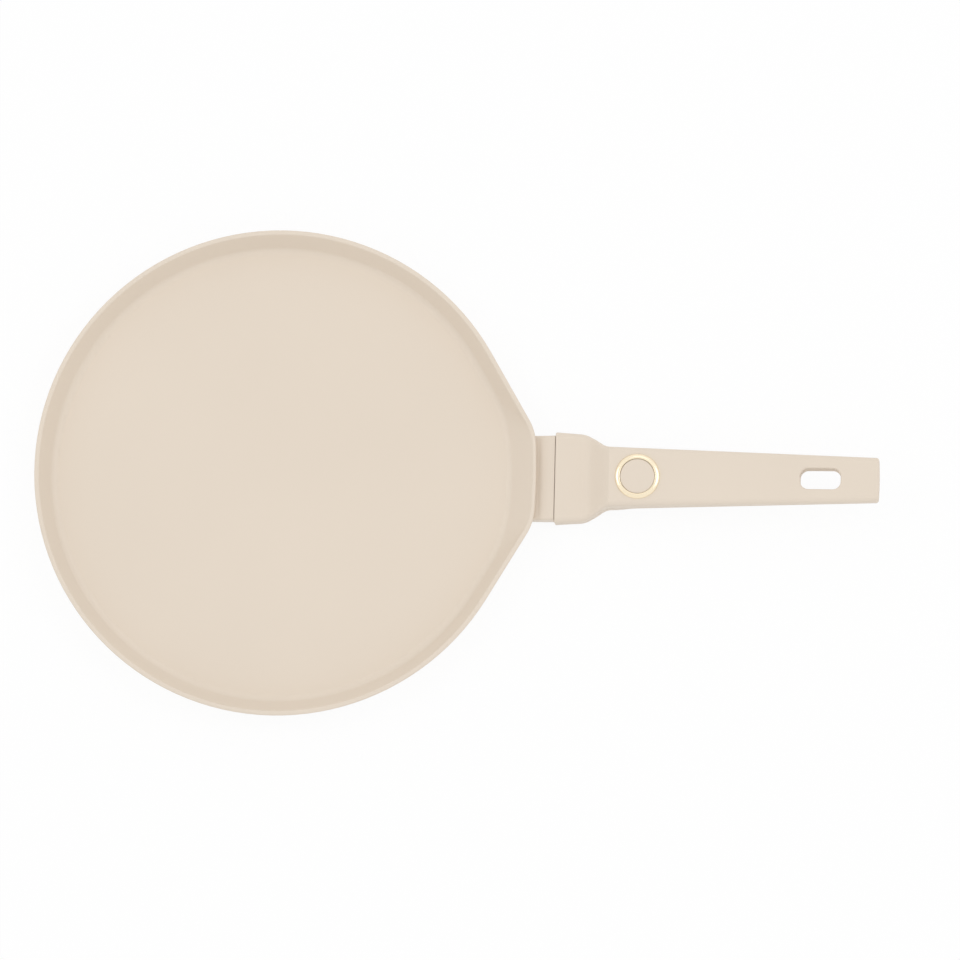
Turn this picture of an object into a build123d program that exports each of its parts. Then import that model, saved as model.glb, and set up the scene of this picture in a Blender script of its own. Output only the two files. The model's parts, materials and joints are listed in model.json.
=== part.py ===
from build123d import *
from math import cos, radians, sin
import os

# A low crepe pan with a push-button removable handle, in millimetres.
# The origin is the centre of the base's resting face, +X points to the handle and +Z is up.

# Pan
rim_diameter = 261.6
pan_height = 17.5
floor_height = 5.5
lip_width = 3.0
wall_lean = 7.0
base_inset = 10.0
lip_rounding_share = 0.32
wall_foot_radius = 5.0
base_edge_radius = 5.0

# Flange over the lug, where the rim runs out in two straight tangents to a blunt end
flange_half_angle = 30.5
flange_reach = 7.9
flange_bow = 0.8
flange_corner_radius = 24.0
floor_reach = 2.0
floor_bow = 2.6
floor_corner_share = 0.66
base_reach = 0.6
base_bow = 3.0
base_corner_share = 0.75

# Steel plate in the base
plate_diameter = 180.0
plate_thickness = 0.8
plate_fit = 0.05
plate_hole_diameter = 7.0
plate_hole_pitch = 24.0
plate_hole_rings = 3
holes_in_first_ring = 6

# Lug, tongue and nose, measured from the seam with the handle
neck_length = 8.8
seam_height = 9.2
handle_rise = 2.5
seam_gap = 0.3
lug_width = 45.3
lug_height = 12.6
neck_dip = 2.2
lug_root_length = 26.0
lug_edge_radius = 1.5
lug_pocket_length = 9.5
lug_pocket_wall = 3.0
lug_pocket_roof = 5.4
tongue_width = 32.0
tongue_height = 6.0
tongue_length = 18.0
tongue_corner_radius = 2.0
nose_width = 14.0
nose_height = 5.0
nose_length = 16.0
nose_lead_in = 1.5
notch_depth = 1.3
notch_from_tip = 5.0

# Handle shells
handle_length = 172.5
collar_width = 48.8
collar_shoulder_width = 46.9
collar_height = 15.0
collar_length = 14.0
ramp_length = 15.2
ramp_rise = 8.6
belly_length = 2.5
tuck_length = 15.0
grip_front_width = 32.0
grip_tip_width = 23.6
grip_front_depth = 17.5
grip_tip_depth = 10.6
top_edge_radius = 3.0
bottom_edge_radius = 4.5
tip_bow = 1.5
tip_rounding = 1.5
mouth_rounding = 0.7
shell_wall = 2.4
corner_softening_share = 0.6
parting_front_share = 0.45
parting_bend_radius = 10.0
reveal_height = 0.5
reveal_depth = 0.5

# Rise of the top and narrowing of the plan along the ramp, as (place, rise, narrowing)
ramp_shares = (
    (0.0, 0.0, 0.0),
    (0.14, 0.01, 0.06),
    (0.30, 0.09, 0.20),
    (0.45, 0.27, 0.38),
    (0.60, 0.48, 0.58),
    (0.75, 0.69, 0.80),
    (0.90, 0.89, 0.95),
    (1.0, 1.0, 1.0),
)
# Rise of the underside behind the belly, as (place, rise)
tuck_shares = ((0.0, 0.0), (0.2, 0.06), (0.4, 0.3), (0.6, 0.7), (0.8, 0.94), (1.0, 1.0))

# Hang slot
slot_length = 21.5
slot_width = 11.0
slot_corner_radius = 4.4
slot_from_tip = 31.2
slot_rounding = 0.8

# Steel sleeve that the tongue runs in
sleeve_sheet = 0.8
sleeve_clearance = 0.3
sleeve_inset = 0.5
sleeve_length = 18.0
sleeve_flange = 1.2
sleeve_fit = 0.05
bulkhead_thickness = 2.6

# Release button and its ring
button_place = 44.4
button_travel = 1.4
ring_inner_diameter = 18.7
ring_outer_diameter = 23.9
ring_height = 1.3
ring_edge_height = 0.25
ring_crest_width = 0.4
ring_bore_rounding = 0.2
ring_edge_lean = 0.6
ring_skirt_depth = 1.4
ring_skirt_wall = 1.2
ring_skirt_inset = 0.7
ring_fit = 0.05
button_clearance = 0.3
cap_clearance = 0.15
button_stand = 0.9
button_flange_width = 1.6
button_flange_thickness = 1.2
button_edge_radius = 0.4
stem_diameter = 6.0
stem_tube_wall = 1.3
stem_tube_height = 5.0
foot_length = 3.5
foot_width = 2.4

# Latch spring bent from round wire
wire_diameter = 1.4
wire_span = 18.0
wire_height = 5.0
wire_anchor = 74.0
wire_hook_length = 2.4
wire_bend_radius = 1.2
wire_knee = 41.0
wire_ankle_length = 4.5
wire_clearance = 0.2
wire_fit = 0.05
post_length = 6.0
post_width = 4.4
rib_thickness = 1.6

# Screws and brass inserts
screw_diameter = 2.5
screw_head_diameter = 4.5
screw_head_height = 1.8
screw_recess_diameter = 4.8
screw_clearance = 0.1
collar_screw_place = 9.0
collar_screw_spread = 40.6
collar_screw_seat = 5.0
grip_screw_shares = (0.216, 0.812)
grip_screw_seat = 3.0
insert_diameter = 4.0
insert_length = 4.5
insert_inset = 0.3
boss_diameter = 7.0

# Overrun of every cutting solid
overrun = 2.0

# Radii of the pan that follow from the sizes above
rim_radius = rim_diameter / 2
floor_radius = rim_radius - lip_width - wall_lean
base_radius = rim_radius - base_inset
seam_distance = rim_radius + flange_reach + neck_length

# Frames along the handle: x runs out along it, y across it, z up out of its top
rise_angle = radians(handle_rise)
handle_origin = Vector(seam_distance, 0, seam_height)
along = Vector(cos(rise_angle), 0, sin(rise_angle))
upward = Vector(-sin(rise_angle), 0, cos(rise_angle))
across = Vector(0, 1, 0)
upward_axis = Axis(handle_origin, upward)
handle_plane = Plane(origin=handle_origin, x_dir=along, z_dir=upward)
side_plane = Plane(origin=handle_origin, x_dir=along, z_dir=-across)

# Places along the handle that follow from the sizes above
collar_top = collar_height / 2
ramp_end = collar_length + ramp_length
grip_top = collar_top + ramp_rise
tuck_start = ramp_end + belly_length
tuck_end = tuck_start + tuck_length
slot_place = handle_length - slot_from_tip
nose_tip = tongue_length + nose_length
notch_place = nose_tip - notch_from_tip
notch_ceiling = -nose_height / 2 + notch_depth
crossbar_height = notch_ceiling - wire_clearance - wire_diameter / 2
top_wall_underside = grip_top - shell_wall
sleeve_end = sleeve_inset + sleeve_length
cavity_start = sleeve_end + bulkhead_thickness
cavity_end = handle_length - shell_wall - tip_bow
post_place = wire_anchor - wire_bend_radius - post_length / 2
slot_wall_place = slot_place - slot_length / 2 - shell_wall
grip_screw_places = [wire_anchor + (slot_wall_place - wire_anchor) * share for share in grip_screw_shares]


def station_plane(place):
    """Plane square to the handle, this far out along it."""
    return Plane(origin=handle_origin + along * place, x_dir=across, z_dir=along)


def grip_width(place):
    """Width of the grip at this place."""
    share = (place - ramp_end) / (handle_length - ramp_end)
    return grip_front_width + (grip_tip_width - grip_front_width) * share


def grip_bottom(place):
    """Height of the grip's underside at this place."""
    share = (place - tuck_end) / (handle_length - tuck_end)
    return grip_top - grip_front_depth - (grip_tip_depth - grip_front_depth) * share


def parting_height(place):
    """Height of the joint between the two shells on the grip."""
    return grip_bottom(place) + parting_front_share * (grip_top - grip_bottom(place))


def pan_outline(radius, reach, bow, corner_radius):
    """Circle that runs out in two tangents to a bowed, blunt end at the handle."""
    spread = radians(flange_half_angle)
    corner_x = radius + reach - bow
    corner_y = (radius - corner_x * cos(spread)) / sin(spread)
    leave = (radius * cos(spread), radius * sin(spread))
    with BuildSketch() as outline:
        with BuildLine():
            ThreePointArc(leave, (-radius, 0), (leave[0], -leave[1]))
            Line((leave[0], -leave[1]), (corner_x, -corner_y))
            ThreePointArc((corner_x, -corner_y), (radius + reach, 0), (corner_x, corner_y))
            Line((corner_x, corner_y), leave)
        make_face()
        fillet(outline.vertices().group_by(Axis.X)[-1], corner_radius)
    return outline.sketch


def handle_section(width, top, bottom, inset):
    """Rounded cross-section of the handle, drawn in by the inset."""
    with BuildSketch() as section:
        with Locations((0, (top + bottom) / 2)):
            Rectangle(width - 2 * inset, top - bottom - 2 * inset)
        softening = inset * corner_softening_share
        fillet(section.vertices().group_by(Axis.Y)[-1], top_edge_radius - softening)
        fillet(section.vertices().group_by(Axis.Y)[0], bottom_edge_radius - softening)
    return section.sketch


def handle_form(inset):
    """Collar, ramp, belly and grip as one solid, drawn in by the inset."""
    with BuildPart() as form:
        for place, width in ((0, collar_width), (collar_length, collar_shoulder_width)):
            with BuildSketch(station_plane(place)):
                add(handle_section(width, collar_top, -collar_top, inset))
        loft(ruled=True)
    with BuildPart() as ramp:
        for place_share, rise_share, narrowing_share in ramp_shares:
            width = collar_shoulder_width + (grip_front_width - collar_shoulder_width) * narrowing_share
            with BuildSketch(station_plane(collar_length + ramp_length * place_share)):
                add(handle_section(width, collar_top + ramp_rise * rise_share, -collar_top, inset))
        loft()
    with BuildPart() as tuck:
        for place_share, rise_share in tuck_shares:
            place = ramp_end + (tuck_end - ramp_end) * place_share
            bottom = -collar_top + (grip_bottom(tuck_end) + collar_top) * rise_share
            with BuildSketch(station_plane(place)):
                add(handle_section(grip_width(place), grip_top, bottom, inset))
        loft()
    with BuildPart() as grip:
        for place in (tuck_end, handle_length + overrun):
            with BuildSketch(station_plane(place)):
                add(handle_section(grip_width(place), grip_top, grip_bottom(place), inset))
        loft(ruled=True)
    with BuildPart() as whole:
        add(form.part)
        add(ramp.part)
        add(tuck.part)
        add(grip.part)
    return whole.part


def below_parting(drop):
    """Everything under the joint line of the two shells, lowered by the drop."""
    depth = collar_height + grip_front_depth
    far_end = handle_length + overrun
    with BuildPart() as region:
        with BuildSketch(side_plane) as profile:
            with BuildLine():
                Polyline(
                    (-overrun, -depth),
                    (-overrun, -drop),
                    (collar_length, -drop),
                    (tuck_end, parting_height(tuck_end) - drop),
                    (far_end, parting_height(far_end) - drop),
                    (far_end, -depth),
                    close=True,
                )
            make_face()
            bends = profile.vertices().group_by(Axis.X)
            fillet(bends[1] + bends[2], parting_bend_radius)
        extrude(amount=collar_width, both=True)
    return region.part


def slot_shape(margin):
    """Plan of the hang slot, drawn out by the margin."""
    with BuildSketch() as slot:
        with Locations((slot_place, 0)):
            RectangleRounded(
                slot_length + 2 * margin, slot_width + 2 * margin, slot_corner_radius + margin
            )
    return slot.sketch


def pan_wall_outline(height):
    """Outline of the cooking hollow at this height, widening from the floor to the lip."""
    share = (height - floor_height) / (pan_height - floor_height)
    radius = floor_radius + wall_lean * share
    reach = floor_reach + (flange_reach - floor_reach) * share
    bow = floor_bow + (flange_bow - floor_bow) * share
    floor_corner_radius = floor_radius * floor_corner_share
    corner_radius = floor_corner_radius + (flange_corner_radius - floor_corner_radius) * share
    return pan_outline(radius, reach, bow, corner_radius)


def plate_dots(diameter):
    """Rings of discs of this diameter at the places of the plate's holes."""
    with BuildSketch() as dots:
        for ring in range(1, plate_hole_rings + 1):
            with PolarLocations(ring * plate_hole_pitch, ring * holes_in_first_ring):
                Circle(diameter / 2)
    return dots.sketch


# Cooking hollow, as the solid that fills it
with BuildPart() as hollow:
    for height in (floor_height, pan_height):
        with BuildSketch(Plane.XY.offset(height)):
            add(pan_wall_outline(height))
    loft()
    fillet(hollow.edges().group_by(Axis.Z)[0], wall_foot_radius)

# Lug with the tongue and the nose that the handle slides over, its top dipping towards the flange
with BuildPart() as lug:
    for place, dip in ((-lug_root_length, neck_dip), (-neck_length, neck_dip), (-seam_gap, 0)):
        with BuildSketch(station_plane(place)):
            with Locations((0, -dip / 2)):
                RectangleRounded(lug_width, lug_height - dip, lug_edge_radius)
    loft(ruled=True)
    with BuildSketch(handle_plane.offset(-lug_height / 2 - overrun)):
        pocket_width = (lug_width - 3 * lug_pocket_wall) / 2
        pocket_middle = -seam_gap - lug_pocket_wall - lug_pocket_length / 2
        pocket_offset = (pocket_width + lug_pocket_wall) / 2
        with Locations((pocket_middle, pocket_offset), (pocket_middle, -pocket_offset)):
            Rectangle(lug_pocket_length, pocket_width)
    extrude(amount=lug_height - lug_pocket_roof + overrun, mode=Mode.SUBTRACT)
    with BuildSketch(station_plane(-seam_gap)):
        RectangleRounded(tongue_width, tongue_height, tongue_corner_radius)
    extrude(amount=tongue_length + seam_gap)
    with BuildSketch(station_plane(tongue_length)):
        Rectangle(nose_width, nose_height)
    extrude(amount=nose_length)
    chamfer(lug.faces().sort_by(Axis.X)[-1].edges(), nose_lead_in)
    with BuildSketch(side_plane):
        with Locations((notch_place, -nose_height / 2)):
            Rectangle(wire_diameter + 2 * wire_clearance + notch_depth, 2 * notch_depth)
    extrude(amount=nose_width, both=True, mode=Mode.SUBTRACT)

with BuildPart() as pan_body:
    with BuildSketch():
        add(pan_outline(base_radius, base_reach, base_bow, base_corner_share * base_radius))
    with BuildSketch(Plane.XY.offset(pan_height)):
        add(pan_outline(rim_radius, flange_reach, flange_bow, flange_corner_radius))
    loft()
    fillet(pan_body.edges().group_by(Axis.Z)[0], base_edge_radius)
    add(hollow.part, mode=Mode.SUBTRACT)
    fillet(pan_body.faces().sort_by(Axis.Z)[-1].edges(), lip_rounding_share * lip_width)
    add(lug.part)
    add(hollow.part, mode=Mode.SUBTRACT)
    with BuildSketch():
        Circle(plate_diameter / 2 + plate_fit)
        add(plate_dots(plate_hole_diameter - 2 * plate_fit), mode=Mode.SUBTRACT)
    extrude(amount=plate_thickness, mode=Mode.SUBTRACT)
pan_body.part.label = "pan_body"

with BuildPart() as induction_plate:
    with BuildSketch():
        Circle(plate_diameter / 2)
        add(plate_dots(plate_hole_diameter), mode=Mode.SUBTRACT)
    extrude(amount=plate_thickness)
induction_plate.part.label = "induction_plate"

# Outer form of the handle with its bowed tip, soft mouth and hang slot
with BuildPart() as handle_outside:
    add(handle_form(0))
    with BuildSketch(handle_plane):
        with BuildLine():
            side = collar_width / 2
            ThreePointArc(
                (handle_length - tip_bow, side), (handle_length, 0), (handle_length - tip_bow, -side)
            )
            Polyline(
                (handle_length - tip_bow, -side),
                (handle_length + 2 * overrun, -side),
                (handle_length + 2 * overrun, side),
                (handle_length - tip_bow, side),
            )
        make_face()
    extrude(amount=collar_width, both=True, mode=Mode.SUBTRACT)
    fillet(handle_outside.faces().sort_by(Axis.X)[-1].edges(), tip_rounding)
    fillet(handle_outside.faces().sort_by(Axis.X)[0].edges(), mouth_rounding)
    with BuildSketch(handle_plane):
        add(slot_shape(0))
    extrude(amount=collar_width, both=True, mode=Mode.SUBTRACT)
    fillet(handle_outside.faces().sort_by(upward_axis)[-1].inner_wires().edges(), slot_rounding)
    slot_underside = [face for face in handle_outside.faces() if face.inner_wires()]
    fillet(ShapeList(slot_underside).sort_by(upward_axis)[0].inner_wires().edges(), slot_rounding)

# Tube round the button's stem, boss round each screw and wall round the slot
stem_tube_radius = stem_diameter / 2 + button_clearance + stem_tube_wall
with BuildPart() as inner_supports:
    with BuildSketch(handle_plane):
        add(slot_shape(shell_wall))
        with Locations(*[(place, 0) for place in grip_screw_places]):
            Circle(boss_diameter / 2)
    extrude(amount=collar_width, both=True)
    with BuildSketch(handle_plane.offset(-collar_height)):
        with Locations((button_place, 0)):
            Circle(stem_tube_radius)
    extrude(amount=collar_height + stem_tube_height)
    with BuildSketch(handle_plane.offset(-collar_height)):
        with Locations((post_place, wire_span / 2), (post_place, -wire_span / 2)):
            Rectangle(post_length, post_width)
    extrude(amount=collar_height + wire_height)

# Hollow inside the two shells
with BuildPart() as shell_cavity:
    add(handle_form(shell_wall))
    with BuildSketch(handle_plane):
        with Locations(((cavity_start + cavity_end) / 2, 0)):
            Rectangle(cavity_end - cavity_start, collar_width)
    extrude(amount=collar_width, both=True, mode=Mode.INTERSECT)
    add(inner_supports.part, mode=Mode.SUBTRACT)

# Fine groove round the outside, just under the joint of the two shells
with BuildPart() as reveal:
    add(below_parting(0))
    add(below_parting(reveal_height), mode=Mode.SUBTRACT)
    with BuildPart(mode=Mode.SUBTRACT):
        add(handle_form(reveal_depth))
        with BuildSketch(handle_plane):
            with Locations((handle_length / 2 - tip_bow - reveal_depth, 0)):
                Rectangle(handle_length, collar_width)
        extrude(amount=collar_width, both=True, mode=Mode.INTERSECT)

# Seat of the sleeve, with the groove of its flange and the way on for the tongue
sleeve_width = tongue_width + 2 * sleeve_clearance + 2 * sleeve_sheet
sleeve_height = tongue_height + 2 * sleeve_clearance + 2 * sleeve_sheet
with BuildPart() as sleeve_seat:
    with BuildSketch(station_plane(-overrun)):
        Rectangle(sleeve_width + 2 * sleeve_fit, sleeve_height + 2 * sleeve_fit)
    extrude(amount=overrun + sleeve_end)
    with BuildSketch(station_plane(sleeve_end - sleeve_sheet)):
        rim = 2 * sleeve_flange + 2 * sleeve_fit
        Rectangle(sleeve_width + rim, sleeve_height + rim)
    extrude(amount=sleeve_sheet)
    with BuildSketch(station_plane(sleeve_end)):
        Rectangle(nose_width + 2 * sleeve_clearance, tongue_height + 2 * sleeve_clearance)
    extrude(amount=bulkhead_thickness + overrun)

with BuildPart() as socket_sleeve:
    with BuildSketch(station_plane(sleeve_inset)):
        Rectangle(sleeve_width, sleeve_height)
    extrude(amount=sleeve_length)
    with BuildSketch(station_plane(sleeve_end - sleeve_sheet)):
        Rectangle(sleeve_width + 2 * sleeve_flange, sleeve_height + 2 * sleeve_flange)
    extrude(amount=sleeve_sheet)
    with BuildSketch(station_plane(sleeve_inset)):
        Rectangle(tongue_width + 2 * sleeve_clearance, tongue_height + 2 * sleeve_clearance)
    extrude(amount=sleeve_length, mode=Mode.SUBTRACT)
socket_sleeve.part.label = "socket_sleeve"

# Screws, as (place along, place across, height of the shells' joint, depth of the head's seat under it)
side_screw = collar_screw_spread / 2
screw_places = [
    (collar_screw_place, side_screw, 0, collar_screw_seat),
    (collar_screw_place, -side_screw, 0, collar_screw_seat),
]
for grip_screw_place in grip_screw_places:
    joint = parting_height(grip_screw_place)
    screw_places.append((grip_screw_place, 0, joint, grip_screw_seat))


def bars(diameter, bottoms_and_tops):
    """One upright round bar at each screw place, between its own two heights."""
    with BuildPart() as group:
        for (place, side, joint, seat), (bottom, top) in zip(screw_places, bottoms_and_tops):
            with BuildSketch(handle_plane.offset(bottom)):
                with Locations((place, side)):
                    Circle(diameter / 2)
            extrude(amount=top - bottom)
    return group.part


insert_spans = []
shank_spans = []
shank_hole_spans = []
head_spans = []
recess_spans = []
for _, _, joint, seat in screw_places:
    insert_top = joint + insert_inset + insert_length
    insert_spans.append((joint + insert_inset, insert_top))
    shank_spans.append((joint - seat, joint + insert_length))
    shank_hole_spans.append((joint - seat - overrun, insert_top))
    head_spans.append((joint - seat - screw_head_height, joint - seat))
    recess_spans.append((joint - seat - grip_front_depth, joint - seat))

with BuildPart() as threaded_inserts:
    add(bars(insert_diameter, insert_spans))
    add(bars(screw_diameter + 2 * screw_clearance, insert_spans), mode=Mode.SUBTRACT)
threaded_inserts.part.label = "threaded_inserts"

with BuildPart() as shell_screws:
    add(bars(screw_diameter, shank_spans))
    add(bars(screw_head_diameter, head_spans))
shell_screws.part.label = "shell_screws"

screw_hole_diameter = screw_diameter + 2 * screw_clearance
ring_bore = ring_inner_diameter / 2
skirt_outer = ring_outer_diameter / 2 - ring_skirt_inset
skirt_inner = skirt_outer - ring_skirt_wall

with BuildPart() as handle_upper_shell:
    add(handle_outside.part)
    add(below_parting(0), mode=Mode.SUBTRACT)
    add(shell_cavity.part, mode=Mode.SUBTRACT)
    add(sleeve_seat.part, mode=Mode.SUBTRACT)
    add(bars(insert_diameter, insert_spans), mode=Mode.SUBTRACT)
    add(bars(screw_hole_diameter, shank_hole_spans), mode=Mode.SUBTRACT)
    with BuildSketch(handle_plane.offset(top_wall_underside - overrun)):
        with Locations((button_place, 0)):
            Circle(ring_bore)
    extrude(amount=shell_wall + 2 * overrun, mode=Mode.SUBTRACT)
    with BuildSketch(handle_plane.offset(grip_top - ring_skirt_depth - ring_fit)):
        with Locations((button_place, 0)):
            Circle(skirt_outer + ring_fit)
            Circle(skirt_inner - ring_fit, mode=Mode.SUBTRACT)
    extrude(amount=ring_skirt_depth + overrun, mode=Mode.SUBTRACT)
    with BuildSketch(handle_plane.offset(wire_height + wire_diameter / 2 + wire_fit)):
        with Locations((post_place, wire_span / 2), (post_place, -wire_span / 2)):
            Rectangle(rib_thickness, post_width)
    extrude(until=Until.NEXT)
handle_upper_shell.part.label = "handle_upper_shell"

# Latch spring, a U of round wire whose crossbar sits in the notch under the nose
bar_half = wire_span / 2
wire_side = [
    (wire_anchor, bar_half, wire_height - wire_hook_length),
    (wire_anchor, bar_half, wire_height),
    (wire_knee, bar_half, wire_height),
    (notch_place + wire_ankle_length, bar_half, crossbar_height),
    (notch_place, bar_half, crossbar_height),
]
wire_points = wire_side + [(x, -y, z) for x, y, z in reversed(wire_side)]
with BuildPart() as latch_wire:
    with BuildLine(handle_plane) as wire_path:
        FilletPolyline(*wire_points, radius=wire_bend_radius)
    with BuildSketch(handle_plane.offset(wire_height - wire_hook_length)):
        with Locations((wire_anchor, bar_half)):
            Circle(wire_diameter / 2)
    sweep(path=wire_path.line)
latch_wire.part.label = "latch_wire"

with BuildPart() as handle_lower_shell:
    add(handle_outside.part)
    add(below_parting(0), mode=Mode.INTERSECT)
    add(reveal.part, mode=Mode.SUBTRACT)
    add(shell_cavity.part, mode=Mode.SUBTRACT)
    add(sleeve_seat.part, mode=Mode.SUBTRACT)
    add(bars(screw_hole_diameter, shank_hole_spans), mode=Mode.SUBTRACT)
    add(bars(screw_recess_diameter, recess_spans), mode=Mode.SUBTRACT)
    with BuildSketch(handle_plane.offset(stem_tube_height)):
        with Locations((button_place, 0)):
            Circle(stem_diameter / 2 + button_clearance)
    extrude(amount=grip_bottom(tuck_end) + shell_wall - stem_tube_height, mode=Mode.SUBTRACT)
    with BuildSketch(station_plane(post_place)):
        with Locations((bar_half, wire_height), (-bar_half, wire_height)):
            Circle(wire_diameter / 2 + wire_fit)
    extrude(amount=post_length, both=True, mode=Mode.SUBTRACT)
handle_lower_shell.part.label = "handle_lower_shell"

# Bezel ring round the button: highest beside the bore and falling off outwards
with BuildPart() as trim_ring:
    ring_centre = handle_origin + along * button_place + upward * grip_top
    with BuildSketch(Plane(origin=ring_centre, x_dir=along, z_dir=-across)):
        with BuildLine():
            outer = ring_outer_diameter / 2
            crest = ring_bore + ring_crest_width
            bore_top = ring_height - ring_bore_rounding
            Line((ring_bore, 0), (ring_bore, bore_top))
            Spline((ring_bore, bore_top), (crest, ring_height), tangents=((0, 1), (1, 0)))
            Spline(
                (crest, ring_height),
                (outer, ring_edge_height),
                tangents=((1, 0), (ring_edge_lean, -1)),
            )
            Polyline(
                (outer, ring_edge_height),
                (outer, 0),
                (skirt_outer, 0),
                (skirt_outer, -ring_skirt_depth),
                (skirt_inner, -ring_skirt_depth),
                (skirt_inner, 0),
                (ring_bore, 0),
            )
        make_face()
    revolve(axis=Axis(ring_centre, upward))
trim_ring.part.label = "trim_ring"

cap_radius = ring_bore - cap_clearance
flange_top = top_wall_underside - button_clearance
flange_bottom = flange_top - button_flange_thickness
stem_bottom = grip_bottom(tuck_end) + shell_wall + button_travel + button_clearance
foot_bottom = wire_height + wire_diameter / 2 + button_clearance
with BuildPart() as release_button:
    with BuildSketch(handle_plane.offset(flange_bottom)):
        with Locations((button_place, 0)):
            Circle(cap_radius + button_flange_width)
    extrude(amount=button_flange_thickness)
    with BuildSketch(handle_plane.offset(flange_bottom)):
        with Locations((button_place, 0)):
            Circle(cap_radius)
    extrude(amount=grip_top + button_stand - flange_bottom)
    fillet(release_button.edges().sort_by(upward_axis)[-1], button_edge_radius)
    with BuildSketch(handle_plane.offset(stem_bottom)):
        with Locations((button_place, 0)):
            Circle(stem_diameter / 2)
    extrude(amount=flange_bottom - stem_bottom)
    with BuildSketch(handle_plane.offset(foot_bottom)):
        with Locations((button_place, bar_half), (button_place, -bar_half)):
            Rectangle(foot_length, foot_width)
    extrude(amount=flange_bottom - foot_bottom)
release_button.part.label = "release_button"

os.makedirs("parts", exist_ok=True)
export_step(pan_body.part, "parts/pan_body.step")
export_step(induction_plate.part, "parts/induction_plate.step")
export_step(handle_upper_shell.part, "parts/handle_upper_shell.step")
export_step(handle_lower_shell.part, "parts/handle_lower_shell.step")
export_step(socket_sleeve.part, "parts/socket_sleeve.step")
export_step(latch_wire.part, "parts/latch_wire.step")
export_step(trim_ring.part, "parts/trim_ring.step")
export_step(release_button.part, "parts/release_button.step")
export_step(threaded_inserts.part, "parts/threaded_inserts.step")
export_step(shell_screws.part, "parts/shell_screws.step")
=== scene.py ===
import json
import math

import bmesh
import bpy
from mathutils import Matrix, Vector


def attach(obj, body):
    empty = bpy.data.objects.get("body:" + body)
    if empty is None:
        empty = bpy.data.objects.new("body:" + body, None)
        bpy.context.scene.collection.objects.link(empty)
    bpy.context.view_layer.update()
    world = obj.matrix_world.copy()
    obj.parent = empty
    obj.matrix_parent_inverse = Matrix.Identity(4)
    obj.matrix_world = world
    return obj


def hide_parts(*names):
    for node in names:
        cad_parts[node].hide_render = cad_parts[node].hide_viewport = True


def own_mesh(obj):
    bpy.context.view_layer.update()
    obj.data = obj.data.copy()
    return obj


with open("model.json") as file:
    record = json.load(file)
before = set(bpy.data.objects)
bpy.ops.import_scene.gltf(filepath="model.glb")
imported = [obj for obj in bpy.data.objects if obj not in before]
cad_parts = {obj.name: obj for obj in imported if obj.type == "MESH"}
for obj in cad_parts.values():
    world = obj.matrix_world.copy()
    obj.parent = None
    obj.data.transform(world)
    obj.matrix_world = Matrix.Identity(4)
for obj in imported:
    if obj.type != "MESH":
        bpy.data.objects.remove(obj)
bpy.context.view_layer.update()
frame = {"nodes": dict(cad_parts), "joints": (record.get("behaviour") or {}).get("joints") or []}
nodes = frame["nodes"]
print("frame loaded,", len(nodes), "nodes")


class Wire:  # an output socket that can be used in a sum
    def __init__(self, finish, socket):
        self.finish = finish
        self.socket = socket

    def maths(self, operation, *terms):
        return self.finish.add("ShaderNodeMath", {"operation": operation}, dict(enumerate(terms)))["Value"]

    def __add__(self, other):
        return self.maths("ADD", self, other)

    def __radd__(self, other):
        return self.maths("ADD", other, self)

    def __sub__(self, other):
        return self.maths("SUBTRACT", self, other)

    def __rsub__(self, other):
        return self.maths("SUBTRACT", other, self)

    def __mul__(self, other):
        return self.maths("MULTIPLY", self, other)

    def __rmul__(self, other):
        return self.maths("MULTIPLY", other, self)

    def __lt__(self, other):
        return self.maths("LESS_THAN", self, other)

    def __gt__(self, other):
        return self.maths("GREATER_THAN", self, other)


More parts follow.
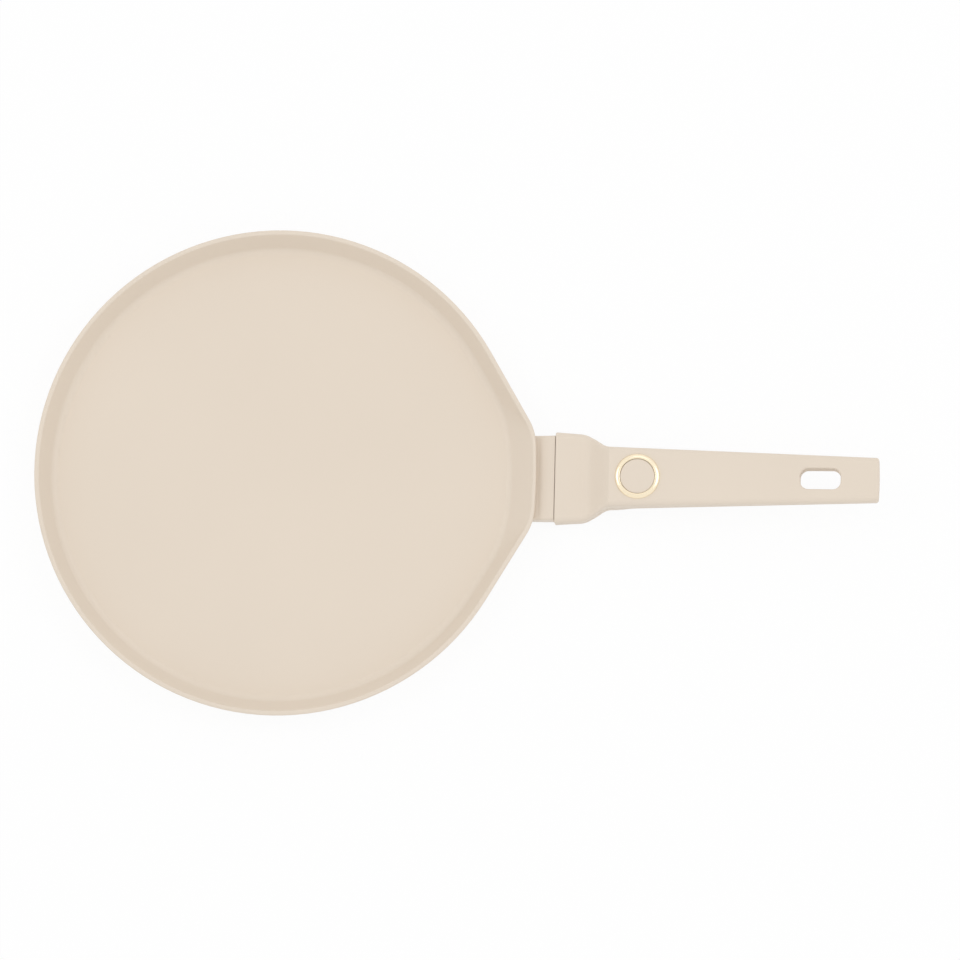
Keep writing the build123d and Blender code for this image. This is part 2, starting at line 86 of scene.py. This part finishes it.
class Finish:  # a material and the nodes in it
    def __init__(self, name, tree=None):
        if tree is None:
            self.material = bpy.data.materials.new(name)
            self.material.use_nodes = True
            tree = self.material.node_tree
        self.tree = tree
        self.tree.nodes.clear()

    def add(self, kind, settings=None, values=None):
        node = self.tree.nodes.new(kind)
        for key, value in (settings or {}).items():
            if key == "stops":  # the ramp's (place, grey) pairs
                ramp = node.color_ramp
                while len(ramp.elements) < len(value):
                    ramp.elements.new(0.5)
                for element, (place, grey) in zip(ramp.elements, value):
                    element.position = place
                    element.color = (grey, grey, grey, 1)
            else:
                setattr(node, key, value)
        for key, value in (values or {}).items():
            socket = node.inputs[key] if isinstance(key, int) else self.find(node.inputs, key)
            if isinstance(value, Wire):
                self.tree.links.new(value.socket, socket)
            elif hasattr(socket.default_value, "__len__") and len(value) < len(socket.default_value):
                socket.default_value = (*value, 1)
            else:
                socket.default_value = value
        return {socket.name: Wire(self, socket) for socket in node.outputs if socket.enabled}

    def find(self, sockets, name):
        return next(socket for socket in sockets if socket.name == name and socket.enabled)

    def coordinates(self, stretch=(1, 1, 1)):
        place = self.add("ShaderNodeTexCoord")["Object"]
        return self.add("ShaderNodeMapping", {}, {"Vector": place, "Scale": stretch})["Vector"]

    def noise(self, vector, pattern):  # a pattern is its scale, detail and roughness
        scale, detail, roughness = pattern
        values = {"Vector": vector, "Scale": scale, "Detail": detail, "Roughness": roughness}
        return self.add("ShaderNodeTexNoise", {}, values)["Fac"]

    def turned(self, radius, pattern):  # the same noise in rings, as a lathe leaves them
        scale, detail, roughness = pattern
        values = {"W": radius, "Scale": scale, "Detail": detail, "Roughness": roughness}
        return self.add("ShaderNodeTexNoise", {"noise_dimensions": "1D"}, values)["Fac"]

    def length(self, vector):
        return self.add("ShaderNodeVectorMath", {"operation": "LENGTH"}, {0: vector})["Value"]

    def blend(self, factor, first, second):
        values = {"Factor": factor, "A": first, "B": second}
        return self.add("ShaderNodeMix", {"data_type": "RGBA"}, values)["Result"]

    def background(self):  # 1 for rays that see the white behind the object or in its metal
        path = self.add("ShaderNodeLightPath")
        return path["Is Camera Ray"] + path["Is Glossy Ray"] + path["Is Transmission Ray"]

    def bump(self, height, distance, normal=None):
        values = {"Height": height, "Distance": distance, "Strength": 1.0}
        if normal:
            values["Normal"] = normal
        return self.add("ShaderNodeBump", {}, values)["Normal"]

    def surface(self, values):
        shader = self.add("ShaderNodeBsdfPrincipled", {}, values)["BSDF"]
        self.add("ShaderNodeOutputMaterial", {}, {"Surface": shader})
        return self.material


def tint(red, green, blue):  # a colour given in screen levels, as linear light
    def linear(level):
        level /= 255
        return level / 12.92 if level <= 0.04045 else ((level + 0.055) / 1.055) ** 2.4

    return linear(red), linear(green), linear(blue)


creamLight = tint(231, 218, 202)
creamDeep = tint(226, 213, 197)
castMetal = (0.74, 0.74, 0.75)
castShade = (0.62, 0.62, 0.63)


# Satin ceramic coating: even cream, with the faint cloudiness and orange peel of a sprayed coat
coating = {
    "cloud": (9, 3, 0.5),
    "peel": (900, 2, 0.5),
    "grain": (5200, 1, 0.5),
    "peelDepth": 0.000010,
    "grainDepth": 0.000002,
    "roughness": 0.40,
    "roughnessSpread": 0.08,
    "gloss": 0.35,
    "plateRadius": 0.0899,
    "pegTop": 0.0005,
    "pegRoughness": 0.34,
}


def makeCoating():
    finish = Finish("panCoating")
    place = finish.coordinates()
    cloud = finish.noise(place, coating["cloud"])
    peel = finish.noise(place, coating["peel"])
    grain = finish.noise(place, coating["grain"])
    height = finish.bump(peel, coating["peelDepth"])
    # the pegs that hold the plate are pressed flat and bare, so they show as dots of cast metal
    radius = finish.length(finish.coordinates((1, 1, 0)))
    level = finish.add("ShaderNodeSeparateXYZ", {}, {"Vector": place})["Z"]
    bare = (radius < coating["plateRadius"]) * (level < coating["pegTop"])
    cream = finish.blend(cloud, creamDeep, creamLight)
    metal = finish.blend(grain, castShade, castMetal)
    satin = coating["roughness"] + (grain - 0.5) * coating["roughnessSpread"]
    return finish.surface({
        "Base Color": finish.blend(bare, cream, metal),
        "Metallic": bare,
        "Roughness": satin + bare * (coating["pegRoughness"] - coating["roughness"]),
        "Normal": finish.bump(grain, coating["grainDepth"], height),
        "Specular IOR Level": coating["gloss"],
    })


# Matt moulded plastic of the handle and the button, with the fine spark texture of its mould
plastic = {
    "cloud": (14, 2, 0.5),
    "spark": (3600, 2, 0.6),
    "coarse": (1500, 1, 0.5),
    "sparkShare": 0.7,
    "sparkDepth": 0.000012,
    "roughness": 0.52,
    "buttonRoughness": 0.46,
    "roughnessSpread": 0.10,
    "gloss": 0.3,
}


def makePlastic(name, roughness):
    finish = Finish(name)
    place = finish.coordinates()
    cloud = finish.noise(place, plastic["cloud"])
    spark = finish.noise(place, plastic["spark"])
    coarse = finish.noise(place, plastic["coarse"])
    grain = spark * plastic["sparkShare"] + coarse * (1 - plastic["sparkShare"])
    return finish.surface({
        "Base Color": finish.blend(cloud, creamDeep, creamLight),
        "Roughness": roughness + (grain - 0.5) * plastic["roughnessSpread"],
        "Normal": finish.bump(grain, plastic["sparkDepth"]),
        "Specular IOR Level": plastic["gloss"],
    })


# Pale gold plating of the bezel ring, polished, with faint turning lines
gold = {
    "colour": tint(250, 236, 208),
    "shade": tint(246, 230, 200),
    "lines": (9000, 2, 0.5),
    "lineDepth": 0.0000006,
    "cloud": (160, 2, 0.5),
    "roughness": 0.16,
    "roughnessSpread": 0.06,
}


def makeGold(centre):
    finish = Finish("bezelGold")
    place = finish.add("ShaderNodeTexCoord")["Object"]
    offset = finish.add("ShaderNodeVectorMath", {"operation": "SUBTRACT"}, {0: place, 1: centre})["Vector"]
    lines = finish.turned(finish.length(offset), gold["lines"])
    cloud = finish.noise(place, gold["cloud"])
    return finish.surface({
        "Base Color": finish.blend(cloud, gold["shade"], gold["colour"]),
        "Metallic": 1.0,
        "Roughness": gold["roughness"] + lines * gold["roughnessSpread"],
        "Normal": finish.bump(lines, gold["lineDepth"]),
    })


# Stainless steel with turning or drawing lines, for the base plate, sleeve and wire
steel = {
    "colour": (0.66, 0.655, 0.64),
    "shade": (0.40, 0.395, 0.38),
    "turning": (2600, 4, 0.7),
    "rings": (420, 3, 0.6),
    "drawing": (2600, 3, 0.6),
    "cloud": (40, 3, 0.5),
    "lineShare": 0.4,
    "broadShare": 0.4,
    "cloudShare": 0.2,
    "lineDepth": 0.000003,
    "lineRoughness": 0.16,
    "cloudRoughness": 0.06,
    "plateRoughness": 0.30,
    "sleeveRoughness": 0.28,
    "sleeveStretch": (0.02, 1, 1),
    "springRoughness": 0.22,
    "springStretch": (0.05, 1, 1),
}


def makeSteel(name, roughness, stretch=None):  # drawn along the stretch, or turned without one
    finish = Finish(name)
    if stretch:
        lines = finish.noise(finish.coordinates(stretch), steel["drawing"])
        broad = lines
    else:
        radius = finish.length(finish.coordinates((1, 1, 0)))
        lines = finish.turned(radius, steel["turning"])
        broad = finish.turned(radius, steel["rings"])
    cloud = finish.noise(finish.coordinates(), steel["cloud"])
    mottle = lines * steel["lineShare"] + broad * steel["broadShare"] + cloud * steel["cloudShare"]
    uneven = (lines - 0.5) * steel["lineRoughness"] + (cloud - 0.5) * steel["cloudRoughness"]
    return finish.surface({
        "Base Color": finish.blend(mottle, steel["shade"], steel["colour"]),
        "Metallic": 1.0,
        "Roughness": roughness + uneven,
        "Normal": finish.bump(lines, steel["lineDepth"]),
    })


# Turned brass of the inserts, a little dulled in places
brass = {
    "colour": (0.72, 0.54, 0.27),
    "shade": (0.56, 0.40, 0.17),
    "cloud": (900, 3, 0.5),
    "roughness": 0.26,
    "roughnessSpread": 0.12,
    "depth": 0.000004,
}


def makeBrass():
    finish = Finish("insertBrass")
    cloud = finish.noise(finish.coordinates(), brass["cloud"])
    return finish.surface({
        "Base Color": finish.blend(cloud, brass["shade"], brass["colour"]),
        "Metallic": 1.0,
        "Roughness": brass["roughness"] + cloud * brass["roughnessSpread"],
        "Normal": finish.bump(cloud, brass["depth"]),
    })


# Zinc plating of the screws, cloudy, with a fine grain
zinc = {
    "colour": (0.60, 0.61, 0.63),
    "shade": (0.46, 0.47, 0.49),
    "cloud": (700, 3, 0.5),
    "grain": (6000, 2, 0.5),
    "grainDepth": 0.000003,
    "roughness": 0.26,
    "roughnessSpread": 0.14,
}


def makeZinc():
    finish = Finish("screwSteel")
    cloud = finish.noise(finish.coordinates(), zinc["cloud"])
    grain = finish.noise(finish.coordinates(), zinc["grain"])
    return finish.surface({
        "Base Color": finish.blend(cloud, zinc["shade"], zinc["colour"]),
        "Metallic": 1.0,
        "Roughness": zinc["roughness"] + grain * zinc["roughnessSpread"],
        "Normal": finish.bump(grain, zinc["grainDepth"]),
    })


def dress(name, material):
    nodes[name].data.materials.clear()
    nodes[name].data.materials.append(material)


# Frame along the handle, measured from the seam with the lug
handle = {
    "seam": (0.1475, 0, 0.0092),
    "ringOut": 0.0444,
    "ringUp": 0.0161,
    "crease": 35,  # degrees, from which an edge stays sharp
    "join": 0.000001,  # points closer than this are one
}
seam = Vector(handle["seam"])
pull = next(joint for joint in frame["joints"] if joint["name"] == "handle_pull")
along = Vector(pull["axis"]).normalized()
across = Vector((0, 1, 0))
upward = along.cross(across)


def spot(out, side, up):  # a point by its distances along, across and up from the seam
    return seam + along * out + across * side + upward * up


ringCentre = spot(handle["ringOut"], 0, handle["ringUp"])

dress("pan_body", makeCoating())
dress("induction_plate", makeSteel("baseSteel", steel["plateRoughness"]))
handlePlastic = makePlastic("handlePlastic", plastic["roughness"])
dress("handle_upper_shell", handlePlastic)
dress("handle_lower_shell", handlePlastic)
dress("release_button", makePlastic("buttonPlastic", plastic["buttonRoughness"]))
dress("socket_sleeve", makeSteel("sleeveSteel", steel["sleeveRoughness"], steel["sleeveStretch"]))
print("finishes made")


def islandsOf(name):  # each solid of a node: its middle, its lowest and its highest level
    form = bmesh.new()
    form.from_mesh(nodes[name].data)
    bmesh.ops.remove_doubles(form, verts=form.verts, dist=handle["join"])  # it is split along its edges
    left = set(form.verts)
    found = []
    while left:
        queue = [left.pop()]
        island = []
        while queue:
            vert = queue.pop()
            island.append(vert)
            near = {edge.other_vert(vert) for edge in vert.link_edges} & left
            left -= near
            queue.extend(near)
        levels = [(vert.co - seam).dot(upward) for vert in island]
        outs = [(vert.co - seam).dot(along) for vert in island]
        sides = [vert.co.y for vert in island]
        middle = ((min(outs) + max(outs)) / 2, (min(sides) + max(sides)) / 2)
        found.append((middle, min(levels), max(levels)))
    form.free()
    print(name, "has", len(found), "solids")
    return sorted(found)


def skin(form, rows, closed=False):  # faces between rows of points, with flat ends or as a loop
    pairs = list(zip(rows, rows[1:]))
    if closed:
        pairs.append((rows[-1], rows[0]))
    else:
        form.faces.new(reversed(rows[0]))
        form.faces.new(rows[-1])
    for low, high in pairs:
        for step in range(len(low)):
            form.faces.new((high[step], high[step - 1], low[step - 1], low[step]))


def addTurned(form, rings, steps, centre, closed=False):  # a ring is its height and radius
    rows = []
    for height, radius in rings:
        row = []
        for step in range(steps):
            angle = 2 * math.pi * step / steps
            reach = radius(angle) if callable(radius) else radius
            arm = along * math.cos(angle) + across * math.sin(angle)
            row.append(form.verts.new(centre + upward * height + arm * reach))
        rows.append(row)
    skin(form, rows, closed)


def makePiece(name, form, material, body):
    bmesh.ops.recalc_face_normals(form, faces=form.faces)
    mesh = bpy.data.meshes.new(name)
    form.to_mesh(mesh)
    form.free()
    mesh.shade_smooth()
    mesh.set_sharp_from_angle(angle=math.radians(handle["crease"]))
    mesh.materials.append(material)
    piece = bpy.data.objects.new(name, mesh)
    bpy.context.scene.collection.objects.link(piece)
    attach(piece, body)
    return piece


# Bezel ring: upright bore, narrow crest and a long rounded fall to the outer edge, with a skirt below
bezel = {
    "bore": 0.00935,
    "boreTop": 0.0011,
    "crest": 0.00975,
    "height": 0.0013,
    "outer": 0.01195,
    "edge": 0.00025,
    "edgeLean": 0.6,
    "skirtOuter": 0.01125,
    "skirtInner": 0.01005,
    "skirtDepth": 0.0014,
    "fullness": 1.15,
    "crestPoints": 9,
    "fallPoints": 14,
    "steps": 160,
}


def curved(first, last, leave, arrive, count):  # points of a curve that keeps to two headings
    first, last = Vector(first), Vector(last)
    swell = (last - first).length * bezel["fullness"]
    leave = Vector(leave).normalized() * swell
    arrive = Vector(arrive).normalized() * swell
    points = []
    for step in range(count + 1):
        t = step / count
        point = first * (2 * t**3 - 3 * t**2 + 1) + leave * (t**3 - 2 * t**2 + t)
        points.append(point + last * (3 * t**2 - 2 * t**3) + arrive * (t**3 - t**2))
    return points


def makeBezel():
    foot = (bezel["bore"], bezel["boreTop"])
    top = (bezel["crest"], bezel["height"])
    edge = (bezel["outer"], bezel["edge"])
    profile = [Vector((bezel["bore"], 0))]
    profile += curved(foot, top, (0, 1), (1, 0), bezel["crestPoints"])
    profile += curved(top, edge, (1, 0), (bezel["edgeLean"], -1), bezel["fallPoints"])[1:]
    profile += [
        Vector((bezel["outer"], 0)),
        Vector((bezel["skirtOuter"], 0)),
        Vector((bezel["skirtOuter"], -bezel["skirtDepth"])),
        Vector((bezel["skirtInner"], -bezel["skirtDepth"])),
        Vector((bezel["skirtInner"], 0)),
    ]
    form = bmesh.new()
    addTurned(form, [(point.y, point.x) for point in profile], bezel["steps"], ringCentre, closed=True)
    piece = makePiece("bezelRing", form, makeGold(ringCentre), "handle")
    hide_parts("trim_ring")


def zigzag(turns):  # rises from 0 to 1 and falls back once a turn
    return 1 - abs(2 * (turns % 1) - 1)


# M2.5 thread: a ridge that winds up the shank, and the same ridge in the insert's bore
thread = {
    "pitch": 0.00045,
    "core": 0.00100,
    "depth": 0.00025,
    "play": 0.00005,
    "fullness": 1.2,
    "rowsPerTurn": 6,
}


def threadRings(start, end, extra=0.0):  # extra is the room that a nut's thread has
    count = round((end - start) / thread["pitch"] * thread["rowsPerTurn"])
    rings = []
    for row in range(count + 1):
        height = start + (end - start) * row / count

        def radius(angle, turn=height / thread["pitch"]):
            ridge = zigzag(turn - angle / (2 * math.pi))
            return thread["core"] + thread["depth"] * min(1, thread["fullness"] * ridge) + extra

        rings.append((height, radius))
    return rings


# Screws: pan head with a six-lobed drive, plain neck and thread, standing on their heads
screw = {
    "headRadius": 0.00225,
    "headHeight": 0.0018,
    "dome": ((0.0, 0.80), (0.00006, 0.90), (0.00022, 0.97), (0.00045, 1.0)),  # height, share of radius
    "chamfer": 0.00006,
    "driveRadius": 0.00095,
    "driveDepth": 0.0011,
    "driveFloor": ((1.0, 0.86), (0.9, 0.96)),  # shares of the drive's depth and radius
    "driveFlare": 0.00007,
    "driveRim": 0.00008,
    "lobes": 6,
    "lobe": 0.00017,
    "neckRadius": 0.00112,
    "neckFillet": 0.00012,
    "neckLength": 0.0009,
    "lead": 0.0001,
    "tipLength": 0.0005,
    "tipShare": 0.85,
    "steps": 36,
}


def headRings():
    def drive(radius):
        return lambda angle: radius + screw["lobe"] * math.cos(screw["lobes"] * angle)

    head = screw["headRadius"]
    under = screw["headHeight"]
    rings = [
        (screw["driveDepth"] * deep, drive(screw["driveRadius"] * wide))
        for deep, wide in screw["driveFloor"]
    ]
    rings += [
        (screw["driveRim"], drive(screw["driveRadius"])),
        (0.0, drive(screw["driveRadius"] + screw["driveFlare"])),
    ]
    rings += [(height, head * share) for height, share in screw["dome"]]
    rings += [
        (under - screw["chamfer"], head),
        (under, head - screw["chamfer"]),
        (under, screw["neckRadius"] + screw["neckFillet"]),
        (under + screw["neckFillet"], screw["neckRadius"]),
        (under + screw["neckLength"], screw["neckRadius"]),
    ]
    return rings


def makeScrews():
    form = bmesh.new()
    start = screw["headHeight"] + screw["neckLength"] + screw["lead"]
    for (out, side), low, high in islandsOf("shell_screws"):
        length = high - low
        rings = headRings() + threadRings(start, length - screw["tipLength"])
        rings.append((length, thread["core"] * screw["tipShare"]))
        addTurned(form, rings, screw["steps"], spot(out, side, low))
    piece = makePiece("shellScrewSet", form, makeZinc(), "handle")
    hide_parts("shell_screws")


# Brass inserts: two knurled bands with a groove between, chamfered ends and a threaded bore
insert = {
    "radius": 0.00199,
    "groove": 0.00168,
    "teeth": 12,
    "toothDepth": 0.00016,
    "mouth": 0.00150,
    "lead": 0.0001,
    "steps": 48,
    "bandEnds": (0.00025, 0.00185, 0.00265, 0.00425),
}


def makeInserts():
    def knurled(angle):
        tooth = zigzag(angle / (2 * math.pi) * insert["teeth"])
        return insert["radius"] - insert["toothDepth"] * (1 - tooth)

    form = bmesh.new()
    first, second, third, fourth = insert["bandEnds"]
    for (out, side), low, high in islandsOf("threaded_inserts"):
        length = high - low
        rings = [
            (0.0, insert["groove"]),
            (first, knurled),
            (second, knurled),
            (second + insert["lead"], insert["groove"]),
            (third - insert["lead"], insert["groove"]),
            (third, knurled),
            (fourth, knurled),
            (length, insert["groove"]),
            (length, insert["mouth"]),
        ]
        rings += threadRings(insert["lead"], length - insert["lead"], thread["play"])[::-1]
        rings.append((0.0, insert["mouth"]))
        addTurned(form, rings, insert["steps"], spot(out, side, low), closed=True)
    piece = makePiece("brassInsertSet", form, makeBrass(), "handle")
    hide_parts("threaded_inserts")


# Latch spring: a U of hard wire, hooked behind two posts and pressed down by the button's feet
latch = {
    "radius": 0.0007,
    "halfSpan": 0.009,
    "anchorOut": 0.074,
    "legUp": 0.005,
    "hook": 0.0024,
    "kneeOut": 0.041,
    "ankleOut": 0.0335,
    "barOut": 0.029,
    "barUp": -0.0021,
    "bend": 0.0012,
    "bendSteps": 8,
    "sides": 16,
    "soft": 0.25,  # share of the radius by which the cut ends are softened
    "postOut": 0.0698,
    "swing": 30,  # degrees by which the squash leans off upright
    "keep": 0.9,
}


def roundedPath(points, radius, steps):  # the same path with an arc at each corner
    path = [points[0]]
    for before, corner, after in zip(points, points[1:], points[2:]):
        back = (before - corner).normalized()
        on = (after - corner).normalized()
        half = back.angle(on) / 2
        middle = corner + (back + on).normalized() * (radius / math.sin(half))
        start = corner + back * (radius / math.tan(half))
        axis = back.cross(on).normalized()
        sweep = math.pi - 2 * half
        for step in range(steps + 1):
            turn = Matrix.Rotation(-sweep * step / steps, 3, axis)
            path.append(middle + turn @ (start - middle))
    path.append(points[-1])
    return path


def addWire(form, path, radius, sides):  # round wire with softened cut ends
    heading = (path[1] - path[0]).normalized()
    last = (path[-1] - path[-2]).normalized()
    side = heading.orthogonal().normalized()
    soft = radius * latch["soft"]
    stations = [(path[0], radius - soft), (path[0] + heading * soft, radius)]
    stations += [(point, radius) for point in path[1:-1]]
    stations += [(path[-1] - last * soft, radius), (path[-1], radius - soft)]
    rows = []
    for index, (point, reach) in enumerate(stations):
        before = stations[max(index - 1, 0)][0]
        after = stations[min(index + 1, len(stations) - 1)][0]
        heading = (after - before).normalized()
        side = (side - heading * side.dot(heading)).normalized()
        other = heading.cross(side)
        row = []
        for step in range(sides):
            angle = 2 * math.pi * step / sides
            arm = side * math.cos(angle) + other * math.sin(angle)
            row.append(form.verts.new(point + arm * reach))
        rows.append(row)
    skin(form, rows[::-1])


def makeLatch():
    side = latch["halfSpan"]
    half = [
        (latch["anchorOut"], latch["legUp"] - latch["hook"]),
        (latch["anchorOut"], latch["legUp"]),
        (latch["kneeOut"], latch["legUp"]),
        (latch["ankleOut"], latch["barUp"]),
        (latch["barOut"], latch["barUp"]),
    ]
    points = [spot(out, side, up) for out, up in half] + [spot(out, -side, up) for out, up in half[::-1]]
    form = bmesh.new()
    path = roundedPath(points, latch["bend"], latch["bendSteps"])
    addWire(form, path, latch["radius"], latch["sides"])
    material = makeSteel("springSteel", steel["springRoughness"], steel["springStretch"])
    piece = makePiece("latchSpring", form, material, "handle")
    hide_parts("latch_wire")
    anchor = spot(latch["postOut"], 0, latch["legUp"])
    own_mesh(piece)


makeBezel()
makeScrews()
makeInserts()
makeLatch()
print("ring, screws, inserts and latch spring made")


# White floor that keeps a soft shadow
floor = {
    "size": 6.0,
    "segments": 4,
    "white": 0.94,
    "glow": 0.92,
    "drop": 0.00005,  # keeps it from flickering against the base
}


def makeFloor():
    mesh = bpy.data.meshes.new("floor")
    form = bmesh.new()
    cells = floor["segments"]
    bmesh.ops.create_grid(form, x_segments=cells, y_segments=cells, size=floor["size"] / 2)
    form.to_mesh(mesh)
    form.free()
    sheet = bpy.data.objects.new("floor", mesh)
    sheet.location.z = -floor["drop"]
    bpy.context.scene.collection.objects.link(sheet)
    finish = Finish("floorWhite")
    seen = finish.background()
    paint = finish.add("ShaderNodeBsdfDiffuse", {}, {"Color": (floor["white"],) * 3})["BSDF"]
    glow = finish.add("ShaderNodeEmission", {}, {"Color": (1, 1, 1), "Strength": 1.0})["Emission"]
    both = finish.add("ShaderNodeMixShader", {}, {0: seen * floor["glow"], 1: paint, 2: glow})["Shader"]
    finish.add("ShaderNodeOutputMaterial", {}, {"Surface": both})
    mesh.materials.append(finish.material)


# Soft light: a pale, nearly even sky and three softboxes that shade the walls and the ring
sky = {
    "horizon": 0.82,
    "zenith": 0.85,
}
lampAim = Vector((0.06, 0, 0))
softboxes = (
    {"name": "softboxLeft", "place": (-0.75, 0.15, 1.1), "size": 0.7, "power": 1.5},
    {"name": "softboxRight", "place": (0.92, 0.16, 1.25), "size": 0.8, "power": 2.4},
    {"name": "softboxBack", "place": (0.15, 0.90, 1.5), "size": 0.7, "power": 0.5},
)


def makeLight():
    world = bpy.data.worlds.new("sky")
    world.use_nodes = True
    bpy.context.scene.world = world
    finish = Finish("sky", world.node_tree)
    direction = finish.add("ShaderNodeTexCoord")["Generated"]
    height = finish.add("ShaderNodeSeparateXYZ", {}, {"Vector": direction})["Z"]
    settings = {"stops": ((0.0, sky["horizon"]), (1.0, sky["zenith"]))}
    level = finish.add("ShaderNodeValToRGB", settings, {"Fac": height})["Color"]
    seen = finish.background()
    dome = finish.add("ShaderNodeBackground", {}, {"Color": level})["Background"]
    white = finish.add("ShaderNodeBackground", {}, {"Color": (1, 1, 1)})["Background"]
    both = finish.add("ShaderNodeMixShader", {}, {0: seen, 1: dome, 2: white})["Shader"]
    finish.add("ShaderNodeOutputWorld", {}, {"Surface": both})
    for box in softboxes:
        lamp = bpy.data.lights.new(box["name"], "AREA")
        lamp.shape = "DISK"
        lamp.size = box["size"]
        lamp.energy = box["power"]
        holder = bpy.data.objects.new(box["name"], lamp)
        holder.location = box["place"]
        holder.rotation_euler = (lampAim - holder.location).to_track_quat("-Z", "Y").to_euler()
        holder.visible_camera = False
        bpy.context.scene.collection.objects.link(holder)


# Camera, high over the pan and leaning towards the near right
camera = {
    "target": (0.1079, -0.004, 0.009),
    "leanX": 0.0328,
    "leanY": -0.125,
    "roll": 0.0230,
    "distance": 4.0,
    "pixelsPerMetre": 1878,
    "pixels": 960,
    "sensor": 36,
    "farEnd": 50,
    "slideX": -0.00062,
    "slideY": 0.00268,
}


def makeCamera():
    back = Vector((camera["leanX"], camera["leanY"], 1)).normalized()
    level = (Vector((0, 1, 0)) - back * back.y).normalized()
    right = level.cross(back)
    turn = Matrix.Rotation(camera["roll"], 3, back)
    right, level = turn @ right, turn @ level
    view = bpy.data.cameras.new("camera")
    view.sensor_width = camera["sensor"]
    view.lens = camera["sensor"] * camera["distance"] * camera["pixelsPerMetre"] / camera["pixels"]
    view.clip_end = camera["farEnd"]
    holder = bpy.data.objects.new("camera", view)
    place = Vector(camera["target"]) + right * camera["slideX"] + level * camera["slideY"]
    place += back * camera["distance"]
    rows = Matrix((right, level, back)).transposed().to_4x4()
    holder.matrix_world = Matrix.Translation(place) @ rows
    bpy.context.scene.collection.objects.link(holder)
    bpy.context.scene.camera = holder


makeFloor()
makeLight()
makeCamera()
bpy.context.scene.view_settings.view_transform = "Standard"
print("floor, light and camera made")
